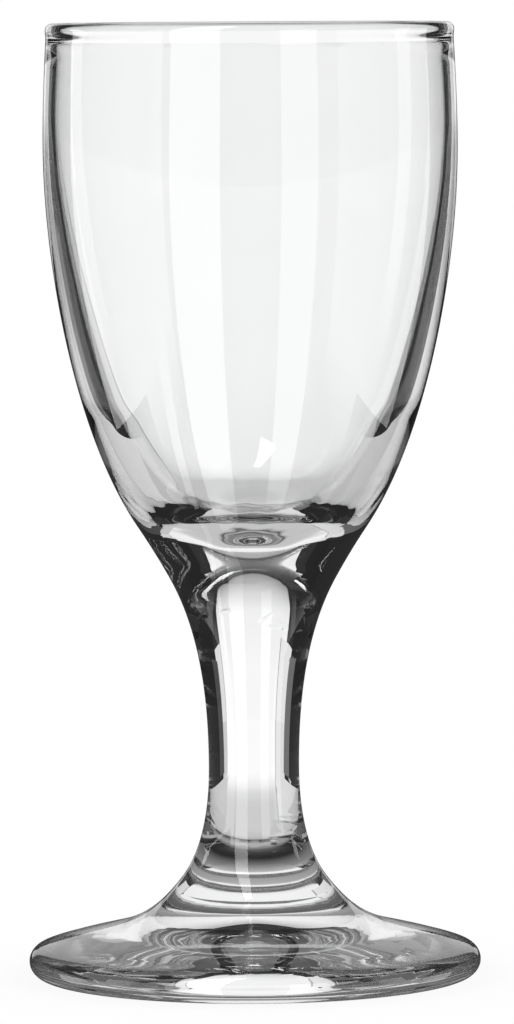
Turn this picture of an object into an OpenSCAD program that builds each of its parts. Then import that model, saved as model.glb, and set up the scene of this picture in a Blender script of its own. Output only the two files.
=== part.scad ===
// Sherry glass in clear glass: a blown bowl with a fire-polished rim, a pressed solid stem
// and a pressed foot, fused to each other at flat weld faces.
// Sizes are in millimetres. +Z is up, and the origin is at the middle of the foot's
// resting plane. A tilt is an angle from the vertical axis, and a reach share says how far
// a smooth curve holds its direction at one end, as a share of the distance between its ends.

/* [Rim] */
// Height of the glass, from the table to the top of the rim
height = 114.2; // [108:0.1:124]
// Outer diameter of the fire-polished bead round the mouth
rim_d = 48.76; // [47:0.02:52]
// Thickness of the bead, from inside to outside
rim_t = 1.8; // [1.5:0.05:2.4]
// Height of the bead, from the seam with the wall to its top
rim_h = 1.9; // [1.6:0.05:2.6]

/* [Bowl outside] */
// Outer diameter of the wall just under the bead
mouth_d = 48.6; // [46.5:0.1:51]
// Tilt of the wall just under the bead
mouth_tilt = 3.3; // [0:0.1:8]
// Largest outer diameter of the bowl
belly_d = 49.46; // [48:0.02:53]
// Drop from the top of the rim to the largest diameter
belly_drop = 14.7; // [11:0.1:22]
// Outer diameter where the bowl turns from bulging to hollow
hip_d = 27.4; // [25.5:0.1:30]
// Height of that turn above the table
hip_z = 54; // [52:0.5:58]
// Tilt of the wall at that turn
hip_tilt = 34; // [28:0.5:40]
// Diameter of the weld between bowl and stem
neck_d = 20.06; // [18:0.02:23]
// Height of the weld between bowl and stem
neck_z = 48; // [44:0.5:50]
// Tilt of the surface at that weld
neck_tilt = 29.5; // [22:0.5:36]

/* [Bowl inside] */
// Wall thickness just under the bead
mouth_wall = 1.45; // [1.1:0.05:1.7]
// Wall thickness at the largest diameter
belly_wall = 1.46; // [1.2:0.02:2.2]
// Height of the widest place inside, over the widest place outside
belly_rise = 2.5; // [0:0.5:6]
// Wall thickness in the lower bowl, where it starts to turn in to the floor
cup_wall = 3.26; // [2.6:0.02:4]
// Tilt of the inner wall there
cup_tilt = 23.5; // [14:0.5:28]
// Height of that place above the middle of the floor
cup_rise = 14.5; // [12:0.5:18]
// Inward run of the rounded shoulder between wall and floor
corner_run = 8.8; // [7:0.1:10]
// Tilt of the surface at the inner end of the shoulder
corner_tilt = 75; // [68:1:82]
// Height of that end above the middle of the floor
corner_rise = 2.4; // [1.6:0.1:3.4]
// Solid glass between the weld and the middle of the floor
floor_t = 6; // [5:0.1:7]

/* [Stem] */
// Smallest diameter of the stem
waist_d = 10.8; // [9:0.1:14]
// Height of the smallest diameter above the table
waist_z = 25; // [20:0.5:32]
// Diameter of the weld between stem and foot
ankle_d = 17.2; // [15:0.1:21]
// Height of the weld between stem and foot
ankle_z = 12; // [10.5:0.1:15]
// Tilt of the surface at that weld
ankle_tilt = 37; // [28:0.5:46]

/* [Foot] */
// Largest diameter of the foot
foot_d = 54.2; // [50:0.1:62]
// Thickness of the foot's round edge
edge_t = 3.8; // [3:0.1:5]
// Slope of the foot's upper face towards the edge, from the horizontal
foot_slope = 18; // [12:0.5:24]
// Width of the flat ring that rests on the table
ring_w = 1.1; // [0.8:0.1:2]
// Diameter at which the shallow cone inside the ring turns up into the hollow
pan_d = 29.4; // [24:0.2:34]
// Height of that turn above the table
pan_rise = 0.7; // [0.4:0.05:1.2]
// Height of the middle of the hollow above the table
hollow_h = 3.2; // [2:0.1:4.5]
// Tilt of the hollow's surface at that turn
hollow_tilt = 77; // [65:1:85]

/* [Hidden] */

// Straight pieces in one smooth curve, in one round of an arc, and round the axis
curve_steps = 16;
arc_steps = 12;
turn_steps = 180;

// Reach shares at the start and the end of each curve, read downwards
mouth_reach_shares = [0.33, 0.33];
belly_reach_shares = [0.29, 0.29];
hip_reach_shares = [0.5, 0.1];
inner_mouth_reach_shares = [0.33, 0.33];
inner_belly_reach_shares = [0.4, 0.12];
cup_reach_shares = [0.5, 0.17];
floor_reach_shares = [0.72, 0.5];
neck_reach_shares = [0.37, 0.24];
waist_reach_shares = [0.26, 0.34];
ankle_reach_shares = [0.44, 0.5];
hollow_reach_shares = [0.19, 0.18];

// The places where the outline changes its run, as radius and height
seam_z = height - rim_h;
edge_r = edge_t / 2;
edge_x = foot_d / 2 - edge_r;
mouth = [mouth_d / 2, seam_z];
belly = [belly_d / 2, height - belly_drop];
hip = [hip_d / 2, hip_z];
neck = [neck_d / 2, neck_z];
waist = [waist_d / 2, waist_z];
ankle = [ankle_d / 2, ankle_z];
shoulder = [edge_x, edge_r] + edge_r * [sin(foot_slope), cos(foot_slope)];

// The bowl's outer outline from the seam down to the weld
bowl_outside = concat(
    [mouth],
    curve(mouth, -mouth_tilt, belly, 0, mouth_reach_shares),
    curve(belly, 0, hip, hip_tilt, belly_reach_shares),
    curve(hip, hip_tilt, neck, neck_tilt, hip_reach_shares)
);
heights_outside = [for (point = reversed(bowl_outside)) [point.y, point.x]];

// The places of the inner outline follow the outer one at the wall's thickness
inner_mouth = mouth - [mouth_wall, 0];
inner_belly = belly + [-belly_wall, belly_rise];
floor_mid = [0, neck_z + floor_t];
cup_z = floor_mid.y + cup_rise;
cup = [lookup(cup_z, heights_outside) - cup_wall, cup_z];
corner = [cup.x - corner_run, floor_mid.y + corner_rise];

glass_tint = [0.87, 0.90, 0.90, 0.4];

// The same points in the opposite order
function reversed(points) = [for (i = [len(points) - 1:-1:0]) points[i]];

// Direction of a surface that runs downwards, for a tilt towards the axis
function downwards(tilt) = [-sin(tilt), -cos(tilt)];

// Points of a smooth curve from one place and tilt to the next, without its first point
function curve(from, from_tilt, to, to_tilt, shares) =
    let (
        span = norm(to - from),
        a = from + shares[0] * span * downwards(from_tilt),
        b = to - shares[1] * span * downwards(to_tilt)
    )
    [for (i = [1:curve_steps])
        let (t = i / curve_steps, s = 1 - t)
        s * s * s * from + 3 * s * s * t * a + 3 * s * t * t * b + t * t * t * to];

// Points of a round arc between two angles, which are measured from +X
function arc(centre, radius, from_angle, to_angle) =
    [for (i = [0:arc_steps])
        let (angle = from_angle + (to_angle - from_angle) * i / arc_steps)
        centre + radius * [cos(angle), sin(angle)]];

module revolve(outline) {
    rotate_extrude($fn = turn_steps)
        polygon(outline);
}

// Fire-polished bead: a round top that runs down into the wall
module rim() {
    bead_r = rim_t / 2;
    centre = [rim_d / 2 - bead_r, height - bead_r];
    lap = 12;
    color(glass_tint)
        revolve(concat([mouth], arc(centre, bead_r, -lap, 180 + lap), [inner_mouth]));
}

// Blown cup with a thick floor that ends in the weld face
module bowl() {
    inside = concat(
        [inner_mouth],
        curve(inner_mouth, -mouth_tilt, inner_belly, 0, inner_mouth_reach_shares),
        curve(inner_belly, 0, cup, cup_tilt, inner_belly_reach_shares),
        curve(cup, cup_tilt, corner, corner_tilt, cup_reach_shares),
        curve(corner, corner_tilt, floor_mid, 90, floor_reach_shares)
    );
    color(glass_tint)
        revolve(concat(bowl_outside, [[0, neck_z]], reversed(inside)));
}

// Solid waisted stem between its two weld faces
module stem() {
    outside = concat(
        [neck],
        curve(neck, neck_tilt, waist, 0, neck_reach_shares),
        curve(waist, 0, ankle, -ankle_tilt, waist_reach_shares)
    );
    color(glass_tint)
        revolve(concat([[0, neck_z]], outside, [[0, ankle_z]]));
}

// Foot with a round edge and a flat resting ring. Under it a shallow cone turns up into a hollow
module foot() {
    outside = concat(
        [ankle],
        curve(ankle, -ankle_tilt, shoulder, foot_slope - 90, ankle_reach_shares),
        arc([edge_x, edge_r], edge_r, 90 - foot_slope, -90)
    );
    pan = [pan_d / 2, pan_rise];
    hollow_mid = [0, hollow_h];
    hollow = concat([hollow_mid], curve(hollow_mid, -90, pan, -hollow_tilt, hollow_reach_shares));
    color(glass_tint)
        revolve(concat([[0, ankle_z]], outside, [[edge_x - ring_w, 0]], reversed(hollow)));
}

rim();
bowl();
stem();
foot();
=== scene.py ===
"""Looks of the sherry glass: one clear body of pressed and blown glass on a pale studio floor."""

import math

import bpy
import numpy as np
from mathutils import Matrix, Vector


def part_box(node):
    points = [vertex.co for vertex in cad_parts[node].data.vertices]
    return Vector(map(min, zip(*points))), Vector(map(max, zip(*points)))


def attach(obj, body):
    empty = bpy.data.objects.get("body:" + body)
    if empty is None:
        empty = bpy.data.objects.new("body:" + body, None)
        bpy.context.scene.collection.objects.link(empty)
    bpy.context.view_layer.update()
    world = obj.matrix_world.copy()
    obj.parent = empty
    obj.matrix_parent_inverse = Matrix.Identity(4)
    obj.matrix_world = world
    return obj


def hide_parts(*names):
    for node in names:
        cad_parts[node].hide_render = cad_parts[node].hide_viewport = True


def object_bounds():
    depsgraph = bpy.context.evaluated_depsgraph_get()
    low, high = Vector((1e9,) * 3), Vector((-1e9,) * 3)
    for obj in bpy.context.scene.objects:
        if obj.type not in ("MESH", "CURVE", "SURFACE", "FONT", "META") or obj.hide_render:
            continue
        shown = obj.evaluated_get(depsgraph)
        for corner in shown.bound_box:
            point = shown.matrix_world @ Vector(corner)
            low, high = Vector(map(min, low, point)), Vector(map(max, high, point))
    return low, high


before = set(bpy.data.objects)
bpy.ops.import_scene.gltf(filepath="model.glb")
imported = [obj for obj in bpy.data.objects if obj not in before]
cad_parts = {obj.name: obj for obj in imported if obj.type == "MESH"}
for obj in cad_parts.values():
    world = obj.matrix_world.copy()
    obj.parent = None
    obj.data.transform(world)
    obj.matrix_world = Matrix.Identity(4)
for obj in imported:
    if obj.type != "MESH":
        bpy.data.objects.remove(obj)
cad_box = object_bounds()
scene = bpy.context.scene

# Lengths are in metres, except where a comment says millimetres
MM = 0.001


# Outline of the glass, from the CAD solids

# Two places closer than this are one, and a point this near a seam lies on it
SAME_PLACE = 1e-7
SEAM_SLACK = 1e-6
# Bends in the CAD outline, in degrees: below the first is a straight run, and above the second is a corner
STRAIGHT_BEND = 0.1
CORNER_BEND = 14
# Distance between the points of the fine section, and how widely its corners are rounded
FINE_STEP = 0.02 * MM
CORNER_BLUR = 0.09 * MM
# Places round the axis, and the most that the section bends from one ring of them to the next, in degrees
TURNS = 288
RING_BEND = 2.2
# Most millimetres between rings on the foot, the stem, the bowl's outside, the rim and the bowl's inside
RING_SPACINGS = (0.27, 0.16, 0.8, 0.2, 0.45)
ACROSS_AXIS = [-1, 1]


def meridian(node, start):
    """Outline of a revolved CAD node in its XZ half plane: (radius, height) points, in order from start."""
    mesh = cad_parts[node].data
    place = {v.index: (round(v.co.x, 7), round(v.co.z, 7)) for v in mesh.vertices
             if abs(v.co.y) < SAME_PLACE and v.co.x > -SAME_PLACE}
    links = {point: set() for point in place.values()}
    for edge in mesh.edges:
        a, b = (place.get(i) for i in edge.vertices)
        if a and b and a != b:
            links[a].add(b)
            links[b].add(a)
    left = set(links)
    here = min(left, key=lambda point: math.dist(point, start))
    path = []
    while True:
        path.append(here)
        left.discard(here)
        if not left:
            return np.array(path)
        near = [point for point in links[here] if point in left] or left
        here = min(near, key=lambda point: math.dist(point, here))


def headings(points):
    """Direction of each step along the points, in radians."""
    step = np.diff(points, axis=0)
    return np.unwrap(np.arctan2(step[:, 1], step[:, 0]))


def spline(points, from_axis, to_axis, step):
    """Natural cubic spline through the points, sampled at a step.

    Where it starts or ends on the axis, it goes on as its own mirror image.
    """
    before = [p * ACROSS_AXIS for p in points[3:0:-1]] if from_axis else []
    after = [p * ACROSS_AXIS for p in points[-2:-5:-1]] if to_axis else []
    knots = np.array([*before, *points, *after])
    travel = np.concatenate([[0], np.cumsum(np.hypot(*np.diff(knots, axis=0).T))])
    count = len(travel)
    gap = np.diff(travel)
    system = np.eye(count)
    right = np.zeros((count, 2))
    for i in range(1, count - 1):
        system[i, i - 1:i + 2] = gap[i - 1], 2 * (gap[i - 1] + gap[i]), gap[i]
        right[i] = 6 * ((knots[i + 1] - knots[i]) / gap[i] - (knots[i] - knots[i - 1]) / gap[i - 1])
    bend = np.linalg.solve(system, right)
    first, last = travel[len(before)], travel[count - 1 - len(after)]
    at = np.linspace(first, last, max(2, int(round((last - first) / step)) + 1))
    i = np.clip(np.searchsorted(travel, at, side="right") - 1, 0, count - 2)
    width = gap[i][:, None]
    u = (travel[i + 1] - at)[:, None] / width
    v = 1 - u
    chord = u * knots[i] + v * knots[i + 1]
    return chord + ((u ** 3 - u) * bend[i] + (v ** 3 - v) * bend[i + 1]) * width * width / 6


def smooth_line(points):
    """The section as a fine smooth line: splines between its corners, and every corner softly rounded."""
    corners = np.nonzero(np.abs(np.diff(headings(points))) > math.radians(CORNER_BEND))[0] + 1
    ends = [0, *corners, len(points) - 1]
    stretches = [spline(points[a:b + 1], a == 0, b == len(points) - 1, FINE_STEP)
                 for a, b in zip(ends, ends[1:])]
    line = np.concatenate([stretches[0], *(stretch[1:] for stretch in stretches[1:])])
    reach = int(4 * CORNER_BLUR / FINE_STEP)
    weights = np.exp(-0.5 * (np.arange(-reach, reach + 1) * FINE_STEP / CORNER_BLUR) ** 2)
    weights /= weights.sum()
    padded = np.concatenate([line[reach:0:-1] * ACROSS_AXIS, line, line[-2:-reach - 2:-1] * ACROSS_AXIS])
    return np.stack([np.convolve(padded[:, k], weights, "valid") for k in (0, 1)], 1)


def thin_out(line, spacing, bend):
    """Fewer points on the line, closer together where it bends."""
    cost = np.hypot(*np.diff(line, axis=0).T) / spacing
    cost[1:] += np.abs(np.diff(headings(line))) / math.radians(bend)
    total = np.concatenate([[0], np.cumsum(cost)])
    wanted = np.linspace(0, total[-1], int(math.ceil(total[-1])) + 1)
    return np.stack([np.interp(wanted, total, line[:, k]) for k in (0, 1)], 1)


def whole_section():
    """The glass's section as one line, and the places along it where the pieces meet.

    It runs from the middle of the hollow round the outside and down into the cup.
    """
    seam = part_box("rim")[0].z
    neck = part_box("stem")[1].z
    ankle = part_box("stem")[0].z
    under_middle = (0, 2 * MM)
    foot = meridian("foot", under_middle)
    stem = meridian("stem", foot[-1])
    bowl = meridian("bowl", stem[-1])
    rim = meridian("rim", (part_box("bowl")[1].x, seam))
    lip = np.nonzero(np.abs(bowl[:, 1] - seam) < SEAM_SLACK)[0]
    hollow_middle = [[0, foot[0, 1]]]
    bowl_outside, bowl_inside = bowl[1:lip[0] + 1], bowl[lip[-1]:]
    chain = np.concatenate([hollow_middle, foot, stem[1:], bowl_outside, rim[1:-1], bowl_inside])
    chain = chain[np.append(True, np.hypot(*np.diff(chain, axis=0).T) > SAME_PLACE)]
    turning = np.abs(np.diff(headings(chain))) > math.radians(STRAIGHT_BEND)
    line = smooth_line(chain[np.concatenate([[True], turning, [True]])])
    line = np.clip(line, (0, cad_box[0].z), (cad_box[1].x, cad_box[1].z))
    top = int(line[:, 1].argmax())
    low = int(line[:top, 1].argmin())
    outside = [low + int(np.abs(line[low:top, 1] - z).argmin()) for z in (ankle, neck, seam)]
    inside = top + int(np.abs(line[top:, 1] - seam).argmin())
    return line, [0, *outside, inside, len(line) - 1]


def normals_of(grid):
    """Unit normals that point out of the glass, at every point of the grid of rings."""
    step = np.diff(grid, axis=0)
    length = np.linalg.norm(step, axis=2, keepdims=True)
    slope = step / length
    between_slopes = (slope[:-1] * length[1:] + slope[1:] * length[:-1]) / (length[:-1] + length[1:])
    along = np.concatenate([slope[:1], between_slopes, slope[-1:]])
    around = np.roll(grid, -1, axis=1) - np.roll(grid, 1, axis=1)
    around[0] = around[1]
    around[-1] = around[-2]
    normal = np.cross(around, along)
    normal[0] = normal[0].mean(0)
    normal[-1] = normal[-1].mean(0)
    return normal / np.linalg.norm(normal, axis=2, keepdims=True)


section, cuts = whole_section()
stretches = [thin_out(section[a:b + 1], spacing * MM, RING_BEND)
             for a, b, spacing in zip(cuts, cuts[1:], RING_SPACINGS)]
rings = np.concatenate([stretches[0], *(stretch[1:] for stretch in stretches[1:])])
# Ring numbers where the pieces start and end
START, ANKLE, NECK, LIP_OUT, LIP_IN, END = np.cumsum([0] + [len(stretch) - 1 for stretch in stretches])

angle = np.arange(TURNS) * 2 * np.pi / TURNS
outward = np.stack([np.cos(angle), np.sin(angle), 0 * angle], 1)
grid = rings[:, 0, None, None] * outward + rings[:, 1, None, None] * np.array([0, 0, 1.0])


# Relief left by the making

pick = np.random.default_rng(11)
radius = np.hypot(grid[..., 0], grid[..., 1])
height = grid[..., 2]
# Degrees round the axis from the front, where the camera is
turn = np.degrees(np.arctan2(grid[..., 0], -grid[..., 1]))
ring_no = np.arange(len(rings))[:, None]

# Faces under the foot: they lie below this height, and the upward part of their normal is below this share
UNDER_TOP = 3.4 * MM
UNDER_FACING = -0.2
# Zones round the axis: from one radius to another, and how softly they end. Nothing reaches the open radius
OPEN = 1.0
UNDER_ZONE = (1.5 * MM, 23.2 * MM, 0.25 * MM)
SWELL_ZONE = (6 * MM, OPEN, 0.5 * MM)
EDGE_SWELL_ZONE = (17 * MM, OPEN, 1 * MM)
PIT_ZONE = (18.5 * MM, 23.2 * MM, 0.3 * MM)
GROOVE_ZONE = (7 * MM, 13 * MM, 0.4 * MM)
FLOOR_ZONE = (4.6 * MM, OPEN, 0.5 * MM)
# The cup's floor by height, and how softly it ends
FLOOR_HEIGHTS = (0, 60 * MM, 0.7 * MM)
# Waves: the shortest, the longest and how many
SWELL_WAVES = (2.2 * MM, 7 * MM, 9)
PIT_WAVES = (1.3 * MM, 3.2 * MM, 9)
WANDER_WAVES = (9 * MM, 25 * MM, 4)
STEM_WAVES = (2.5 * MM, 7 * MM, 7)
FLOOR_WAVES = (1.6 * MM, 4 * MM, 7)
BOWL_WAVES = (6 * MM, 18 * MM, 6)
# Depths
SWELL_DEPTH = 0.0025 * MM
EDGE_SWELL_DEPTH = 0.012 * MM
PIT_DEPTH = 0.014 * MM
GROOVE_DEPTH = 0.0015 * MM
STEM_WAVE_DEPTH = 0.004 * MM
FLOOR_WAVE_DEPTH = 0.02 * MM
FLOOR_FOLD_DEPTH = 0.02 * MM
BOWL_WAVE_DEPTH = 0.0015 * MM
MOULD_SEAM_HEIGHT = 0.012 * MM
# How strongly the waves are raised before their tops are cut off: only what is above zero makes a pit
PIT_GAIN = 2.4
# Distances between two sets of grooves, and how far they wander, in radians of a groove
GROOVE_SPACINGS = (1.25 * MM, 2.1 * MM)
GROOVE_WANDER = 4
# Degrees round the axis by which the floor's fold is turned
FLOOR_FOLD_TURN = 35
MOULD_SEAM_WIDTH = 0.16 * MM
# Chill marks reach down to this many rings below the ankle
RINGS_BELOW_ANKLE = 20
# Depth of a mark at the side, and width of a mark, in millimetres
SIDE_MARK_DEPTH = 0.04
MARK_WIDTH = 0.16

# Chill marks at the front of the stem, as crease takes them: turn, height, half length, rise and depth.
# Turn and half length are in degrees, and the rest in millimetres
front_marks = (
    (-23, 44.5, 4.5, 0.1, 0.05),
    (10, 43.6, 6, 0.5, 0.05),
    (23, 42.5, 11, -0.2, 0.05),
    (25, 42.9, 6, -0.3, 0.04),
    (40, 19.1, 20, -0.3, 0.06),
    (44, 19.6, 16, -0.2, 0.05),
    (38, 17.4, 22, 0.1, 0.06),
    (21, 16.7, 5, 0.0, 0.04),
    (-60, 19.3, 9, -0.6, 0.05),
    (-57, 18.4, 7, -0.4, 0.05),
    (-36, 24.3, 2, 0.5, 0.03),
    (52, 24.0, 3, -0.4, 0.03),
    # An upright one, with its own width
    (29.4, 23.3, 1.6, 0.0, 0.02, 0.9),
)
# Bands of marks on each side of the stem, in the same units: the least and the most of their turn, height,
# half length and rise, and how many marks there are
side_bands = (
    ((42, 38, 2, -0.6), (68, 47.5, 6, 0.6), 12),
    ((40, 15, 3, -0.3), (75, 20, 9, 0.3), 5),
)


def ripples(shortest, longest, count):
    """Waves that run every way over the surface, between -1 and 1."""
    total = 0
    for length in np.geomspace(shortest, longest, count):
        way = pick.normal(size=3)
        travel = grid @ (way / np.linalg.norm(way))
        total = total + np.sin(2 * np.pi / length * travel + pick.uniform(0, 2 * np.pi))
    return total / count


def between(value, low, high, soft):
    """1 between two limits and 0 outside, with soft sides."""
    return 1 / (1 + np.exp((low - value) / soft)) / (1 + np.exp((value - high) / soft))


def crease(at_turn, at_height, reach, rise, depth, width=MARK_WIDTH):
    """Chill mark: turn and half length in degrees, the rest in millimetres."""
    along = (turn - at_turn) / reach
    off = (height - (at_height + rise * along) * MM) / (width * MM)
    return -depth * MM * np.exp(-off ** 2) * np.clip(1 - along ** 2, 0, None)


def under_foot():
    """Hollows under the foot: a swell, shallow pits near the resting ring, and grooves round the hollow."""
    under = (ring_no < ANKLE) & (height < UNDER_TOP) & (normals_of(grid)[..., 2] < UNDER_FACING)
    swell_depth = (SWELL_DEPTH * between(radius, *SWELL_ZONE)
                   + EDGE_SWELL_DEPTH * between(radius, *EDGE_SWELL_ZONE))
    swell = between(radius, *UNDER_ZONE) * swell_depth * (1 + ripples(*SWELL_WAVES))
    pits = between(radius, *PIT_ZONE) * PIT_DEPTH * np.clip(PIT_GAIN * ripples(*PIT_WAVES), 0, 1) ** 2
    wander = GROOVE_WANDER * ripples(*WANDER_WAVES)
    fine, wide = (2 * np.pi * radius / spacing for spacing in GROOVE_SPACINGS)
    waves = 2 + np.sin(fine + wander) + np.sin(wide - 2 * wander)
    grooves = between(radius, *GROOVE_ZONE) * GROOVE_DEPTH * waves
    return under * -(swell + pits + grooves)


def stem_waves():
    on_stem = (ring_no > ANKLE) & (ring_no < NECK)
    return on_stem * STEM_WAVE_DEPTH * ripples(*STEM_WAVES)


def cup_floor():
    """Waves on the cup's floor, and a slow fold that lifts it on two sides."""
    on_floor = (ring_no > LIP_IN) * between(height, *FLOOR_HEIGHTS) * between(radius, *FLOOR_ZONE)
    fold = np.cos(np.radians(2 * turn + FLOOR_FOLD_TURN))
    return on_floor * (FLOOR_WAVE_DEPTH * ripples(*FLOOR_WAVES) + FLOOR_FOLD_DEPTH * fold)


def bowl_waves():
    on_bowl = (ring_no > LIP_IN) | ((ring_no > NECK) & (ring_no < LIP_OUT))
    return on_bowl * BOWL_WAVE_DEPTH * ripples(*BOWL_WAVES)


def chill_marks():
    """Chill marks all round the stem: at the front where they are listed, and at the sides by chance."""
    outside = (ring_no > ANKLE - RINGS_BELOW_ANKLE) & (ring_no < LIP_OUT)
    total = sum(crease(*mark) for mark in front_marks)
    for side in (-1, 1):
        for least, most, count in side_bands:
            for at_turn, at_height, reach, rise in pick.uniform(least, most, (count, 4)):
                total = total + crease(side * at_turn, at_height, reach, rise, SIDE_MARK_DEPTH)
    return outside * total


def mould_seams():
    """The mould's two seams, at the sides of the stem."""
    on_stem = (ring_no >= ANKLE) & (ring_no <= NECK)
    away = [np.radians(turn - side * 90) * radius / MOULD_SEAM_WIDTH for side in (-1, 1)]
    return on_stem * MOULD_SEAM_HEIGHT * sum(np.exp(-distance ** 2) for distance in away)


relief = under_foot() + stem_waves() + cup_floor() + bowl_waves() + chill_marks() + mould_seams()
grid = grid + normals_of(grid) * relief[..., None]
normals = normals_of(grid)


# Pieces

# Places in a piece's list of materials
GLASS, WELD = 0, 1
UP, DOWN = 1.0, -1.0


def glass_piece(name, node, spans, welds, materials):
    """Closed mesh over spans of rings.

    A weld is a flat face that closes it: a ring, the other ring or None for a full disc, and UP or DOWN.
    """
    verts, first, shade = [], {}, []
    faces, loops, kinds = [], [], []
    here = np.arange(TURNS)
    beside = np.roll(here, -1)

    def add_faces(corners, facing=None):
        """Faces of glass with its own normals or, where facing is given, of a flat weld."""
        faces.extend(corners.tolist())
        loops.extend(shade[v] if facing is None else (0, 0, facing) for v in corners.ravel())
        kinds.extend([GLASS if facing is None else WELD] * len(corners))

    def band(i, j, facing=None):
        """Faces between two rings, one of which may be a single point on the axis."""
        p, q = first[i], first[j]
        if i in (START, END):
            corners = [p + 0 * here, q + beside, q + here]
        elif j in (START, END):
            corners = [p + here, p + beside, q + 0 * here]
        else:
            corners = [p + here, p + beside, q + beside, q + here]
        add_faces(np.stack(corners, 1), facing)

    def disc(i, facing):
        """Flat face inside one ring."""
        verts.append(np.array([[0, 0, rings[i, 1]]]))
        centre = len(shade)
        shade.append(np.array([0, 0, facing]))
        p = first[i]
        edge = [p + here, p + beside] if facing > 0 else [p + beside, p + here]
        add_faces(np.stack([*edge, np.full(TURNS, centre)], 1), facing)

    for a, b in spans:
        for i in range(a, b + 1):
            first[i] = len(shade)
            count = 1 if i in (START, END) else TURNS
            verts.append(grid[i][:count])
            shade.extend(normals[i][:count])
    for a, b in spans:
        for i in range(a, b):
            band(i, i + 1)
    for i, j, facing in welds:
        if j is None:
            disc(i, facing)
        else:
            band(i, j, facing)
    mesh = bpy.data.meshes.new(name)
    mesh.from_pydata(np.concatenate(verts).tolist(), [], faces)
    for material in materials:
        mesh.materials.append(material)
    mesh.polygons.foreach_set("material_index", kinds)
    mesh.polygons.foreach_set("use_smooth", [True] * len(faces))
    mesh.normals_split_custom_set([tuple(normal) for normal in loops])
    mesh.update()
    piece = bpy.data.objects.new(name, mesh)
    scene.collection.objects.link(piece)
    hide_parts(node)
    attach(piece, "root")
    return piece


# Materials

INDEX_OF_REFRACTION = 1.52
# Highest place that is rubbed dull by the table, and how rough it can get there
SCUFF_TOP = 0.12 * MM
SCUFF_ROUGHNESS = 0.45
# Sizes of the tint's streaks and of the grit's marks, as Noise scales: more is finer
STREAK_SCALE = 90.0
GRIT_SCALE = 2200.0


def new_material(name):
    """Empty node material, with its nodes, its links and its output node."""
    material = bpy.data.materials.new(name)
    material.use_nodes = True
    tree = material.node_tree
    tree.nodes.clear()
    return material, tree.nodes, tree.links, tree.nodes.new("ShaderNodeOutputMaterial")


def noise(nodes, links, place, scale, detail):
    node = nodes.new("ShaderNodeTexNoise")
    node.inputs["Scale"].default_value = scale
    node.inputs["Detail"].default_value = detail
    links.new(place, node.inputs["Vector"])
    return node.outputs["Fac"]


def waved_normal(nodes, links, place, length, stretch, depth):
    """Normal of a face with faint waves, which are stretched upwards."""
    spread = nodes.new("ShaderNodeMapping")
    spread.inputs["Scale"].default_value = (1 / length, 1 / length, 1 / (length * stretch))
    links.new(place, spread.inputs["Vector"])
    bump = nodes.new("ShaderNodeBump")
    bump.inputs["Distance"].default_value = depth
    links.new(noise(nodes, links, spread.outputs["Vector"], 1.0, 1.0), bump.inputs["Height"])
    return bump.outputs["Normal"]


def streaked_tint(nodes, links, place):
    """Colour of clear glass, faintly greener in some streaks than in others."""
    tint = nodes.new("ShaderNodeValToRGB")
    greener, clearer = tint.color_ramp.elements
    greener.position = 0.35
    greener.color = (0.98, 0.987, 0.984, 1)
    clearer.position = 0.65
    clearer.color = (0.99, 0.993, 0.992, 1)
    links.new(noise(nodes, links, place, STREAK_SCALE, 3.0), tint.inputs[0])
    return tint.outputs["Color"]


def scuffed_roughness(nodes, links, place):
    """Roughness of polished glass that is rubbed dull by grit where it rests on the table."""
    split = nodes.new("ShaderNodeSeparateXYZ")
    links.new(place, split.inputs[0])
    rubbed = nodes.new("ShaderNodeMapRange")
    rubbed.inputs["From Max"].default_value = SCUFF_TOP
    rubbed.inputs["To Min"].default_value = SCUFF_ROUGHNESS
    rubbed.inputs["To Max"].default_value = 0.0
    links.new(split.outputs["Z"], rubbed.inputs["Value"])
    worn = nodes.new("ShaderNodeMath")
    worn.operation = "MULTIPLY"
    links.new(rubbed.outputs["Result"], worn.inputs[0])
    links.new(noise(nodes, links, place, GRIT_SCALE, 4.0), worn.inputs[1])
    return worn.outputs[0]


def clear_glass(name, wave_length, stretch, wave_depth, scuffed=False):
    """Clear glass with faint waves left by its making. Scuffed glass is dull where it rests."""
    material, nodes, links, out = new_material(name)
    shader = nodes.new("ShaderNodeBsdfPrincipled")
    shader.inputs["Roughness"].default_value = 0.0
    shader.inputs["IOR"].default_value = INDEX_OF_REFRACTION
    shader.inputs["Transmission Weight"].default_value = 1.0
    place = nodes.new("ShaderNodeTexCoord").outputs["Object"]
    links.new(waved_normal(nodes, links, place, wave_length, stretch, wave_depth), shader.inputs["Normal"])
    links.new(streaked_tint(nodes, links, place), shader.inputs["Base Color"])
    if scuffed:
        links.new(scuffed_roughness(nodes, links, place), shader.inputs["Roughness"])
    links.new(shader.outputs["BSDF"], out.inputs["Surface"])
    return material


def open_weld():
    """The faces where two pieces are fused: light passes as if they weren't there."""
    material, nodes, links, out = new_material("fused_glass")
    links.new(nodes.new("ShaderNodeBsdfTransparent").outputs["BSDF"], out.inputs["Surface"])
    return material


weld = open_weld()
foot_glass = clear_glass("foot_clear", wave_length=6 * MM, stretch=1.0, wave_depth=0.006 * MM, scuffed=True)
stem_glass = clear_glass("stem_clear", wave_length=4 * MM, stretch=4.0, wave_depth=0.004 * MM)
bowl_glass = clear_glass("bowl_clear", wave_length=12 * MM, stretch=0.6, wave_depth=0.008 * MM)
rim_glass = clear_glass("rim_clear", wave_length=5 * MM, stretch=1.0, wave_depth=0.003 * MM)

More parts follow.
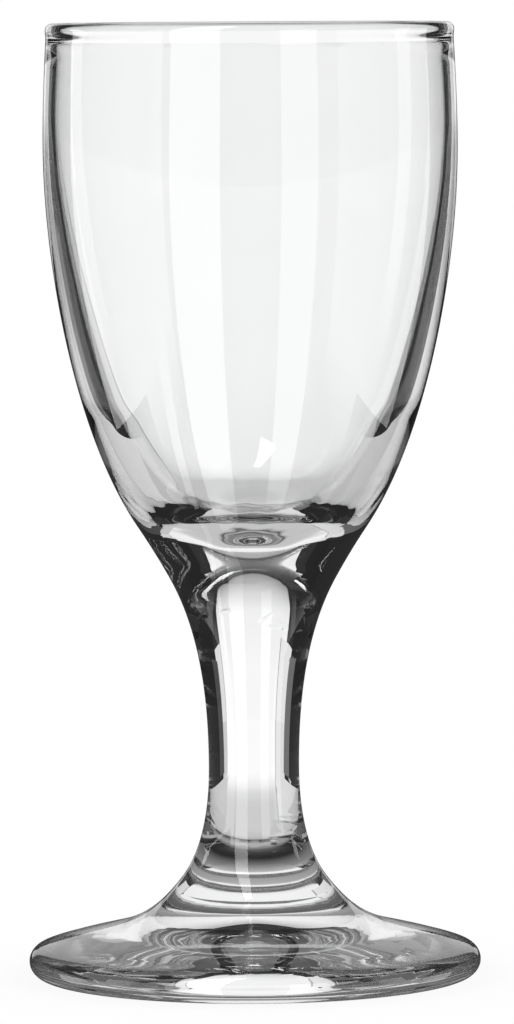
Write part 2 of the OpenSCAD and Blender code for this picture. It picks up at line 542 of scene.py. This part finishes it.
glass_piece("foot_body", "foot", [(START, ANKLE)], [(ANKLE, None, UP)], [foot_glass, weld])
glass_piece("stem_body", "stem", [(ANKLE, NECK)], [(NECK, None, UP), (ANKLE, None, DOWN)],
            [stem_glass, weld])
glass_piece("bowl_body", "bowl", [(NECK, LIP_OUT), (LIP_IN, END)],
            [(NECK, None, DOWN), (LIP_OUT, LIP_IN, UP)], [bowl_glass, weld])
glass_piece("rim_body", "rim", [(LIP_OUT, LIP_IN)], [(LIP_IN, LIP_OUT, DOWN)],
            [rim_glass, weld])


# Camera

# The focal length is measured in pixels of a picture of this height
PHOTO_HEIGHT = 1024
FOCAL_PIXELS = 7208.3
SENSOR_MM = 36
CAMERA_PLACE = (0.00055, -0.860, 0.118)
CAMERA_TARGET = (0.00055, 0, 0.055714)
CAMERA_ROLL_DEGREES = -0.35


def look_at(location, target, roll):
    back = (Vector(location) - Vector(target)).normalized()
    right = Vector((0, 0, 1)).cross(back).normalized()
    up = back.cross(right)
    facing = Matrix((right, up, back)).transposed().to_4x4() @ Matrix.Rotation(math.radians(roll), 4, "Z")
    return Matrix.Translation(location) @ facing


camera = bpy.data.objects.new("camera", bpy.data.cameras.new("camera"))
camera.data.sensor_width = SENSOR_MM
camera.data.lens = SENSOR_MM * FOCAL_PIXELS / PHOTO_HEIGHT
camera.data.clip_start = 0.05
camera.data.clip_end = 50
camera.matrix_world = look_at(CAMERA_PLACE, CAMERA_TARGET, CAMERA_ROLL_DEGREES)
scene.collection.objects.link(camera)
scene.camera = camera

scene.view_settings.view_transform = "Standard"
# Light turns many times inside solid glass before it leaves
scene.cycles.max_bounces = 20
scene.cycles.glossy_bounces = 16
scene.cycles.transmission_bounces = 16

# The studio stands on a turntable that faces the camera, as when the glass is turned for each picture
studio = bpy.data.objects.new("studio", None)
scene.collection.objects.link(studio)
follow = studio.constraints.new("LOCKED_TRACK")
follow.target = camera
follow.track_axis = "TRACK_NEGATIVE_Y"
follow.lock_axis = "LOCK_Z"


# Studio: its room, and how its panels are made

ROOM_GREY = 0.035
THROUGH, MIRRORED = ("transmission",), ("glossy",)
# Lying panels are stacked this far apart, above the floor
LAYER = 0.0002


def dim_room():
    """World that is white for the camera and a dim grey for the glass."""
    world = bpy.data.worlds.new("studio_room")
    scene.world = world
    world.use_nodes = True
    nodes, links = world.node_tree.nodes, world.node_tree.links
    nodes.clear()
    mix = nodes.new("ShaderNodeMixShader")
    links.new(nodes.new("ShaderNodeLightPath").outputs["Is Camera Ray"], mix.inputs[0])
    for socket, level in ((1, ROOM_GREY), (2, 1.0)):
        light = nodes.new("ShaderNodeBackground")
        light.inputs["Color"].default_value = (level, level, level, 1)
        links.new(light.outputs[0], mix.inputs[socket])
    links.new(mix.outputs[0], nodes.new("ShaderNodeOutputWorld").inputs["Surface"])


def stage_mesh(name, verts, faces, material):
    mesh = bpy.data.meshes.new(name)
    mesh.from_pydata(verts, [], faces)
    mesh.materials.append(material)
    thing = bpy.data.objects.new(name, mesh)
    scene.collection.objects.link(thing)
    return thing


def ramp(nodes, links, value, reach, stops):
    """Grey level that follows a value from zero to its reach, by (value, level) stops."""
    scale = nodes.new("ShaderNodeMath")
    scale.operation = "DIVIDE"
    scale.inputs[1].default_value = reach
    links.new(value, scale.inputs[0])
    node = nodes.new("ShaderNodeValToRGB")
    while len(node.color_ramp.elements) < len(stops):
        node.color_ramp.elements.new(1.0)
    for element, (at, level) in zip(node.color_ramp.elements, stops):
        element.position = at / reach
        element.color = (level, level, level, 1)
    links.new(scale.outputs[0], node.inputs[0])
    return node.outputs["Color"]


def glow(name, strength, by_height=None):
    """Light that a panel gives off. by_height: its reach in metres and the (height, level) stops."""
    material, nodes, links, out = new_material(name)
    shader = nodes.new("ShaderNodeEmission")
    shader.inputs["Strength"].default_value = strength
    if by_height:
        split = nodes.new("ShaderNodeSeparateXYZ")
        links.new(nodes.new("ShaderNodeTexCoord").outputs["Object"], split.inputs[0])
        links.new(ramp(nodes, links, split.outputs["Z"], *by_height), shader.inputs["Color"])
    links.new(shader.outputs[0], out.inputs["Surface"])
    return material


def panel(name, corners, material, seen_by):
    """Flat panel of the studio, which the camera doesn't see: only the glass shows it."""
    board = stage_mesh(name, corners, [(0, 1, 2, 3)], material)
    board.parent = studio
    board.visible_camera = board.visible_diffuse = board.visible_shadow = False
    board.visible_glossy = "glossy" in seen_by
    board.visible_transmission = "transmission" in seen_by
    return board


def upright(name, plan, low, high, material, seen_by):
    """Standing panel. plan: x and y of its two ends."""
    x0, y0, x1, y1 = plan
    return panel(name, [(x0, y0, low), (x1, y1, low), (x1, y1, high), (x0, y0, high)], material, seen_by)


def across(x0, x1, y):
    """Plan of a panel that faces the camera."""
    return x0, y, x1, y


def lying(name, corners, level, layer=1):
    """Grey on the floor that shows through the glass only."""
    return panel(name, [(x, y, LAYER * layer) for x, y in corners], glow(name + "_shade", level), THROUGH)


dim_room()
card = glow("black_card", 0.02)


# Backdrop behind the glass, and the boards beside it

BACKDROP_Y = 1.2
# Half the width of the backdrop that shows through the glass, and of the one that shows in its faces
BACKDROP_HALF, SHEEN_HALF = 0.57, 0.45
BACKDROP_TOP = 1.44
BOARD_TOP, BOARD_HALF, LEFT_BOARD_X = 0.36, 0.8, -0.427
# A seam's two edges, on the left and on the right
LEFT_SEAM = (LEFT_BOARD_X - 0.010, LEFT_BOARD_X + 0.007)
RIGHT_SEAM = (BACKDROP_HALF - 0.005, BACKDROP_HALF + 0.002)
# Boards stand one step before the backdrop, and seams two
BOARD_STEP = 0.01
# Dark cards before the mirrored backdrop, on each side
EDGE_CARD_NEAR, EDGE_CARD_FAR, EDGE_CARD_TOP = 0.07, 0.26, 0.16
backdrop_stops = (BACKDROP_TOP, ((0, 1.0), (0.56, 1.0), (0.84, 0.85), (1.2, 0.6), (1.44, 0.5)))

upright("backdrop", across(-BACKDROP_HALF, BACKDROP_HALF, BACKDROP_Y), 0.0, BACKDROP_TOP,
        glow("backdrop_white", 0.97, backdrop_stops), THROUGH)
upright("backdrop_mirrored", across(-SHEEN_HALF, SHEEN_HALF, BACKDROP_Y), 0.0, BACKDROP_TOP,
        glow("backdrop_sheen", 0.8, backdrop_stops), MIRRORED)
for name, x0, x1 in (("edge_card_left", -EDGE_CARD_FAR, -EDGE_CARD_NEAR),
                     ("edge_card_right", EDGE_CARD_NEAR, EDGE_CARD_FAR)):
    upright(name, across(x0, x1, BACKDROP_Y - BOARD_STEP), 0.0, EDGE_CARD_TOP, card, MIRRORED)

board_left = glow("board_left_white", 0.85, backdrop_stops)
board_right = glow("board_right_white", 0.8, backdrop_stops)
seam = glow("board_seam", 0.4, backdrop_stops)
for name, edges, steps, material in (("board_left", (-BOARD_HALF, LEFT_BOARD_X), 1, board_left),
                                     ("seam_left", LEFT_SEAM, 2, seam),
                                     ("board_right", (BACKDROP_HALF, BOARD_HALF), 1, board_right),
                                     ("seam_right", RIGHT_SEAM, 2, seam)):
    upright(name, across(*edges, BACKDROP_Y - steps * BOARD_STEP), 0.0, BOARD_TOP, material, THROUGH)


# Greys on the floor before the boards. Their inner edges point at the axis of the glass

FLOOR_HALF = 1.2
BEHIND_GLASS = 0.05


def beside_axis(x):
    """Where the line from the axis of the glass to x at the backdrop passes just behind the glass."""
    return x * BEHIND_GLASS / BACKDROP_Y, BEHIND_GLASS


lying("board_left_foot", [beside_axis(LEFT_BOARD_X), (LEFT_BOARD_X, BACKDROP_Y),
                          (-FLOOR_HALF, BACKDROP_Y), (-FLOOR_HALF, BEHIND_GLASS)], 0.78)
lying("board_right_foot", [beside_axis(BACKDROP_HALF), (BACKDROP_HALF, BACKDROP_Y),
                           (FLOOR_HALF, BACKDROP_Y), (FLOOR_HALF, BEHIND_GLASS)], 0.65)
lying("seam_left_foot", [beside_axis(LEFT_SEAM[0]), beside_axis(LEFT_SEAM[1]),
                         (LEFT_SEAM[1], BACKDROP_Y), (LEFT_SEAM[0], BACKDROP_Y)], 0.4, layer=2)


# Room behind the camera, and the table before the glass

ROOM_HALF, ROOM_NEAR, ROOM_FAR, ROOM_TOP = 0.6, -0.5, -0.05, 0.2
TABLE_FAR = -0.029

room_wall = glow("room_wall", 0.17)
for name, plan in (("room_front", across(-ROOM_HALF, ROOM_HALF, ROOM_NEAR)),
                   ("room_left", (-ROOM_HALF, ROOM_NEAR, -ROOM_HALF, ROOM_FAR)),
                   ("room_right", (ROOM_HALF, ROOM_NEAR, ROOM_HALF, ROOM_FAR))):
    upright(name, plan, 0.0, ROOM_TOP, room_wall, THROUGH)
lying("table_front", [(-ROOM_HALF, ROOM_NEAR), (ROOM_HALF, ROOM_NEAR),
                      (ROOM_HALF, TABLE_FAR), (-ROOM_HALF, TABLE_FAR)], 0.24)


# Black cards close beside the glass, which give it its dark edges

CARD_X = 0.080
CARD_FRONT, CARD_NEAR, CARD_FAR = -0.1, -0.03, 0.133
CARD_TOP, LOW_CARD_TOP, MIRRORED_CARD_TOP = 0.5, 0.07, 0.036
# A grey hem hangs just inside each card, from one height to another, and reaches a little past it
HEM_X, HEM_FAR, HEM_LOW, HEM_HIGH = 0.0795, 0.139, 0.004, 0.065
# A card's shade on the floor: its edge beside the foot, and how far back it goes there and at the card
CARD_SHADE_X, CARD_SHADE_BACK, CARD_SHADE_OUTER_BACK = 0.0295, 0.02, 0.03

for side, sign, hem_near, hem_level in (("left", -1, 0.100, 0.17), ("right", 1, 0.108, 0.08)):
    shade_corners = ((CARD_SHADE_X, TABLE_FAR), (CARD_X, TABLE_FAR),
                     (CARD_X, CARD_SHADE_OUTER_BACK), (CARD_SHADE_X, CARD_SHADE_BACK))
    lying("card_shade_" + side, [(sign * x, y) for x, y in shade_corners], 0.15, layer=3)
    x = sign * CARD_X
    upright("card_" + side, (x, CARD_NEAR, x, CARD_FAR), 0.0, CARD_TOP, card, THROUGH)
    upright("low_card_" + side, (x, CARD_FRONT, x, CARD_NEAR), 0.0, LOW_CARD_TOP, card, THROUGH)
    upright("mirrored_card_" + side, (x, CARD_NEAR, x, CARD_FAR), 0.0, MIRRORED_CARD_TOP, card, MIRRORED)
    x = sign * HEM_X
    upright("card_hem_" + side, (x, hem_near, x, HEM_FAR), HEM_LOW, HEM_HIGH,
            glow("grey_hem_" + side, hem_level), THROUGH)


# Tall light strips beside the camera, which only the outer face of the glass shows

STRIP_DISTANCE = 0.5
# Each strip leans a little. Its edges' angles from the camera's side are given at these heights, in degrees
STRIP_HIGH, STRIP_LOW = 0.06, -0.65
# A strip runs this far up and down from the floor, and its stops' heights are measured from its lower end
STRIP_REACH = 2.0
STRIP_LENGTH = 2 * STRIP_REACH
strip_stops = (STRIP_LENGTH, ((0, 0.0), (1.0, 0.0), (1.03, 0.35), (1.26, 0.45), (1.45, 0.75), (1.62, 1.0),
                              (2.2, 1.0), (2.25, 0.0)))
wide_stops = (STRIP_LENGTH, ((0, 0.0), (1.0, 0.0), (1.03, 0.08), (1.26, 0.1), (1.45, 0.17), (1.62, 0.23),
                             (2.2, 0.23), (2.4, 0.35)))
short_stops = (STRIP_LENGTH, ((0, 0.0), (1.26, 0.0), (1.28, 0.45), (1.45, 0.75), (1.62, 1.0),
                              (2.2, 1.0), (2.25, 0.0)))
far_stops = (STRIP_LENGTH, ((0, 0.0), (1.55, 0.0), (1.76, 0.6), (1.9, 0.7), (1.98, 1.0),
                            (2.2, 1.0), (2.25, 0.0)))


def beside_camera(degrees, z):
    """Place at an angle from the camera's side and at a height."""
    a = math.radians(degrees)
    return Vector((STRIP_DISTANCE * math.sin(a), -STRIP_DISTANCE * math.cos(a), z))


def strip(name, high, low, strength, stops):
    """Leaning light strip. high, low: the angles of its two edges at the upper and the lower height."""
    corners = []
    for side, z in ((0, -STRIP_REACH), (1, -STRIP_REACH), (1, STRIP_REACH), (0, STRIP_REACH)):
        top, foot = beside_camera(high[side], STRIP_HIGH), beside_camera(low[side], STRIP_LOW)
        at = foot.lerp(top, (z - STRIP_LOW) / (STRIP_HIGH - STRIP_LOW))
        corners.append(at + Vector((0, 0, STRIP_REACH)))
    board = panel(name, corners, glow(name + "_light", strength, stops), MIRRORED)
    board.location.z = -STRIP_REACH


strip("strip_left_wide", (-44.5, -16.3), (-49.5, -19.5), 15.0, wide_stops)
strip("strip_left_narrow", (-58.3, -50.5), (-74.5, -66.5), 2.4, strip_stops)
strip("strip_right", (16.7, 37.1), (16.4, 37.2), 2.7, short_stops)
strip("strip_left_far", (-108.6, -102.4), (-63.0, -62.0), 3.3, far_stops)
strip("strip_right_far", (88.0, 97.5), (71.5, 77.5), 3.1, far_stops)


# Soft fill light behind the strips, which fades out downwards

FILL_HALF, FILL_NEAR, FILL_FAR = 0.65, -0.56, 0.33
FILL_LOW, FILL_TALL = -1.0, 1.2
fill_stops = (FILL_TALL, ((0, 0.0), (0.55, 0.0), (0.76, 1.0), (1.2, 1.0)))

for name, plan, strength in (("fill_front", across(-FILL_HALF, FILL_HALF, FILL_NEAR), 1.15),
                             ("fill_left", (-FILL_HALF, FILL_NEAR, -FILL_HALF, FILL_FAR), 2.3),
                             ("fill_right", (FILL_HALF, FILL_NEAR, FILL_HALF, FILL_FAR), 2.0)):
    light = glow(name + "_light", strength, fill_stops)
    fill = upright(name, plan, 0.0, FILL_TALL, light, MIRRORED)
    fill.location.z = FILL_LOW


# Floor and light from above

FLOOR_REACH = 3
FLOOR_COLOUR = 0.8
# Levels of the floor by distance from the axis. Through the glass it has the foot's shade, and to the
# camera it is white with a faint shade beside the foot
UNDER_REACH, BESIDE_REACH = 0.2, 0.06
under_stops = ((0, 0.16), (0.003, 0.12), (0.006, 0.04), (0.009, 0.02), (0.012, 0.18), (0.015, 0.3),
               (0.019, 0.45), (0.022, 0.45), (0.025, 0.14), (0.0275, 0.12), (0.029, 0.2), (0.031, 0.4),
               (0.036, 0.6), (0.05, 0.6), (0.066, 0.6), (0.09, 0.62), (0.11, 0.68), (0.14, 0.86),
               (0.17, 0.95), (0.2, 1.0))
beside_stops = ((0, 0.9), (0.027, 0.95), (0.032, 0.985), (0.05, 1.0))


def floor_material():
    """The floor gives off its level to the camera and through the glass, and is matte to other light."""
    material, nodes, links, out = new_material("floor_white")
    distance = nodes.new("ShaderNodeVectorMath")
    distance.operation = "LENGTH"
    links.new(nodes.new("ShaderNodeTexCoord").outputs["Object"], distance.inputs[0])
    path = nodes.new("ShaderNodeLightPath")
    level = nodes.new("ShaderNodeMix")
    level.data_type = "RGBA"
    links.new(path.outputs["Is Camera Ray"], level.inputs[0])
    links.new(ramp(nodes, links, distance.outputs["Value"], UNDER_REACH, under_stops), level.inputs[6])
    links.new(ramp(nodes, links, distance.outputs["Value"], BESIDE_REACH, beside_stops), level.inputs[7])
    emit = nodes.new("ShaderNodeEmission")
    links.new(level.outputs[2], emit.inputs["Color"])
    matte = nodes.new("ShaderNodeBsdfDiffuse")
    matte.inputs["Color"].default_value = (FLOOR_COLOUR, FLOOR_COLOUR, FLOOR_COLOUR, 1)
    either = nodes.new("ShaderNodeMath")
    either.operation = "MAXIMUM"
    links.new(path.outputs["Is Camera Ray"], either.inputs[0])
    links.new(path.outputs["Is Transmission Ray"], either.inputs[1])
    mix = nodes.new("ShaderNodeMixShader")
    links.new(either.outputs[0], mix.inputs[0])
    links.new(matte.outputs[0], mix.inputs[1])
    links.new(emit.outputs[0], mix.inputs[2])
    links.new(mix.outputs[0], out.inputs["Surface"])
    return material


floor_corners = [(FLOOR_REACH * x, FLOOR_REACH * y, 0) for x, y in ((-1, -1), (1, -1), (1, 1), (-1, 1))]
floor = stage_mesh("floor", floor_corners, [(0, 1, 2, 3)], floor_material())
floor.visible_glossy = False

top_light = bpy.data.objects.new("top_light", bpy.data.lights.new("top_light", "AREA"))
top_light.data.size = 0.6
top_light.data.energy = 3
top_light.location = (0, 0, 0.9)
top_light.visible_glossy = False
top_light.visible_transmission = False
scene.collection.objects.link(top_light)
